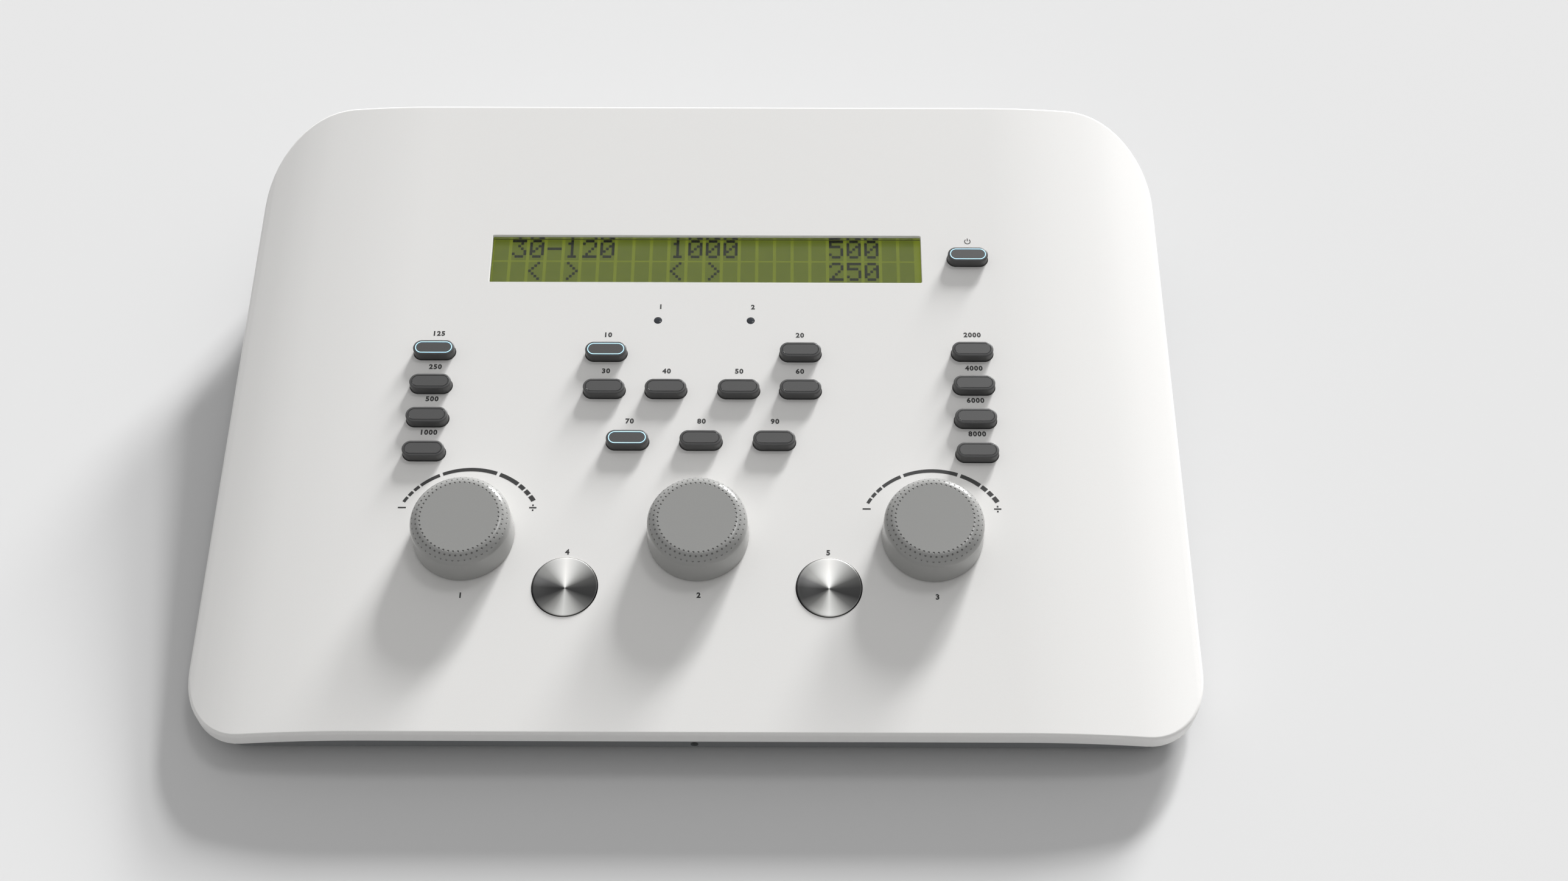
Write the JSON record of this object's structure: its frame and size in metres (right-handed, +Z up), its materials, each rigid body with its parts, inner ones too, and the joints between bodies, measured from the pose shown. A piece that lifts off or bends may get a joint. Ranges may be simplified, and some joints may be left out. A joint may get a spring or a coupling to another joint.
{
  "type": "audiometer",
  "caption": "Desktop hearing tester: wedge-shaped case with a gently arched sloping top, long character display, oblong light-ring keys, round steel press discs and large dimpled knobs",
  "frame": {"origin": "centre of the object's outline, on the table under the rubber feet", "axes": "+X to the operator's right, along the width; +Y away from the operator, to the back; +Z up"},
  "size_m": [0.366, 0.2816, 0.0596],
  "materials": {
    "cover_white": "moulded, painted off-white, soft gloss",
    "base_grey": "moulded, mid grey",
    "window": "clear acrylic pane",
    "lcd_green": "olive green character display",
    "dark_steel": "black display bezel",
    "board_green": "circuit board with green solder mask",
    "led_dark": "unlit dark blue lens",
    "black_plastic": "moulded black",
    "bright_steel": "plated",
    "black_rubber": "soft foot",
    "key_grey": "dark grey, satin top",
    "light_ring": "ice blue light ring",
    "ring_dark": "unlit light ring",
    "brushed_steel": "radially brushed",
    "knob_grey": "warm grey, satin",
    "shaft_brass": "turned",
    "print_dark": "screen printed"
  },
  "bodies": {
    "housing": {"top_cover": "cover_white", "base_shell": "base_grey", "display_window": "window", "lcd_frame": "dark_steel", "lcd_glass": "lcd_green", "lcd_board": "board_green", "indicator_leds": "led_dark", "main_board": "board_green", "tact_switches": "black_plastic", "encoder_bodies": "bright_steel", "talk_microphone": "bright_steel", "connector_board": "board_green", "jack_nuts": "bright_steel", "usb_socket": "bright_steel", "dc_inlet": "black_plastic", "dc_pin": "bright_steel", "case_screws": "bright_steel", "board_screws": "bright_steel", "lcd_screws": "bright_steel", "connector_screws": "bright_steel", "rubber_feet": "black_rubber", "jack_socket_1": "black_plastic", "jack_socket_2": "black_plastic", "jack_socket_3": "black_plastic", "jack_socket_4": "black_plastic", "jack_socket_5": "black_plastic", "jack_socket_6": "black_plastic"},
    "power_key": {"power_key": "key_grey"},
    "left_key_1": {"left_key_1": "key_grey"},
    "left_key_2": {"left_key_2": "key_grey"},
    "left_key_3": {"left_key_3": "key_grey"},
    "left_key_4": {"left_key_4": "key_grey"},
    "right_key_1": {"right_key_1": "key_grey"},
    "right_key_2": {"right_key_2": "key_grey"},
    "right_key_3": {"right_key_3": "key_grey"},
    "right_key_4": {"right_key_4": "key_grey"},
    "upper_key_1": {"upper_key_1": "key_grey"},
    "upper_key_2": {"upper_key_2": "key_grey"},
    "middle_key_1": {"middle_key_1": "key_grey"},
    "middle_key_2": {"middle_key_2": "key_grey"},
    "middle_key_3": {"middle_key_3": "key_grey"},
    "middle_key_4": {"middle_key_4": "key_grey"},
    "lower_key_1": {"lower_key_1": "key_grey"},
    "lower_key_2": {"lower_key_2": "key_grey"},
    "lower_key_3": {"lower_key_3": "key_grey"},
    "press_disc_left": {"press_disc_left": "brushed_steel"},
    "press_disc_right": {"press_disc_right": "brushed_steel"},
    "knob_left": {"knob_left": "knob_grey", "shaft_left": "shaft_brass"},
    "knob_centre": {"knob_centre": "knob_grey", "shaft_centre": "shaft_brass"},
    "knob_right": {"knob_right": "knob_grey", "shaft_right": "shaft_brass"}
  },
  "joints": [
    {"name": "power_key_press", "type": "slide", "parent": "housing", "child": "power_key", "axis": [0, 0.1392, -0.9903], "range_m": [0, 0.0009], "stiffness_N_per_m": 550, "springref_m": -0.001},
    {"name": "left_key_1_press", "type": "slide", "parent": "housing", "child": "left_key_1", "axis": [0, 0.1392, -0.9903], "range_m": [0, 0.0009], "stiffness_N_per_m": 550, "springref_m": -0.001},
    {"name": "left_key_2_press", "type": "slide", "parent": "housing", "child": "left_key_2", "axis": [0, 0.1392, -0.9903], "range_m": [0, 0.0009], "stiffness_N_per_m": 550, "springref_m": -0.001},
    {"name": "left_key_3_press", "type": "slide", "parent": "housing", "child": "left_key_3", "axis": [0, 0.1392, -0.9903], "range_m": [0, 0.0009], "stiffness_N_per_m": 550, "springref_m": -0.001},
    {"name": "left_key_4_press", "type": "slide", "parent": "housing", "child": "left_key_4", "axis": [0, 0.1392, -0.9903], "range_m": [0, 0.0009], "stiffness_N_per_m": 550, "springref_m": -0.001},
    {"name": "right_key_1_press", "type": "slide", "parent": "housing", "child": "right_key_1", "axis": [0, 0.1392, -0.9903], "range_m": [0, 0.0009], "stiffness_N_per_m": 550, "springref_m": -0.001},
    {"name": "right_key_2_press", "type": "slide", "parent": "housing", "child": "right_key_2", "axis": [0, 0.1392, -0.9903], "range_m": [0, 0.0009], "stiffness_N_per_m": 550, "springref_m": -0.001},
    {"name": "right_key_3_press", "type": "slide", "parent": "housing", "child": "right_key_3", "axis": [0, 0.1392, -0.9903], "range_m": [0, 0.0009], "stiffness_N_per_m": 550, "springref_m": -0.001},
    {"name": "right_key_4_press", "type": "slide", "parent": "housing", "child": "right_key_4", "axis": [0, 0.1392, -0.9903], "range_m": [0, 0.0009], "stiffness_N_per_m": 550, "springref_m": -0.001},
    {"name": "upper_key_1_press", "type": "slide", "parent": "housing", "child": "upper_key_1", "axis": [0, 0.1392, -0.9903], "range_m": [0, 0.0009], "stiffness_N_per_m": 550, "springref_m": -0.001},
    {"name": "upper_key_2_press", "type": "slide", "parent": "housing", "child": "upper_key_2", "axis": [0, 0.1392, -0.9903], "range_m": [0, 0.0009], "stiffness_N_per_m": 550, "springref_m": -0.001},
    {"name": "middle_key_1_press", "type": "slide", "parent": "housing", "child": "middle_key_1", "axis": [0, 0.1392, -0.9903], "range_m": [0, 0.0009], "stiffness_N_per_m": 550, "springref_m": -0.001},
    {"name": "middle_key_2_press", "type": "slide", "parent": "housing", "child": "middle_key_2", "axis": [0, 0.1392, -0.9903], "range_m": [0, 0.0009], "stiffness_N_per_m": 550, "springref_m": -0.001},
    {"name": "middle_key_3_press", "type": "slide", "parent": "housing", "child": "middle_key_3", "axis": [0, 0.1392, -0.9903], "range_m": [0, 0.0009], "stiffness_N_per_m": 550, "springref_m": -0.001},
    {"name": "middle_key_4_press", "type": "slide", "parent": "housing", "child": "middle_key_4", "axis": [0, 0.1392, -0.9903], "range_m": [0, 0.0009], "stiffness_N_per_m": 550, "springref_m": -0.001},
    {"name": "lower_key_1_press", "type": "slide", "parent": "housing", "child": "lower_key_1", "axis": [0, 0.1392, -0.9903], "range_m": [0, 0.0009], "stiffness_N_per_m": 550, "springref_m": -0.001},
    {"name": "lower_key_2_press", "type": "slide", "parent": "housing", "child": "lower_key_2", "axis": [0, 0.1392, -0.9903], "range_m": [0, 0.0009], "stiffness_N_per_m": 550, "springref_m": -0.001},
    {"name": "lower_key_3_press", "type": "slide", "parent": "housing", "child": "lower_key_3", "axis": [0, 0.1392, -0.9903], "range_m": [0, 0.0009], "stiffness_N_per_m": 550, "springref_m": -0.001},
    {"name": "press_disc_left_press", "type": "slide", "parent": "housing", "child": "press_disc_left", "axis": [0, 0.1392, -0.9903], "range_m": [0, 0.0009], "stiffness_N_per_m": 600, "springref_m": -0.002},
    {"name": "press_disc_right_press", "type": "slide", "parent": "housing", "child": "press_disc_right", "axis": [0, 0.1392, -0.9903], "range_m": [0, 0.0009], "stiffness_N_per_m": 600, "springref_m": -0.002},
    {"name": "knob_left_turn", "type": "hinge", "parent": "housing", "child": "knob_left", "pos_m": [-0.0864, -0.0629, 0.03132], "axis": [0, -0.1392, 0.9903], "continuous": true},
    {"name": "knob_centre_turn", "type": "hinge", "parent": "housing", "child": "knob_centre", "pos_m": [0, -0.0629, 0.03132], "axis": [0, -0.1392, 0.9903], "continuous": true},
    {"name": "knob_right_turn", "type": "hinge", "parent": "housing", "child": "knob_right", "pos_m": [0.0864, -0.0629, 0.03132], "axis": [0, -0.1392, 0.9903], "continuous": true}
  ]
}
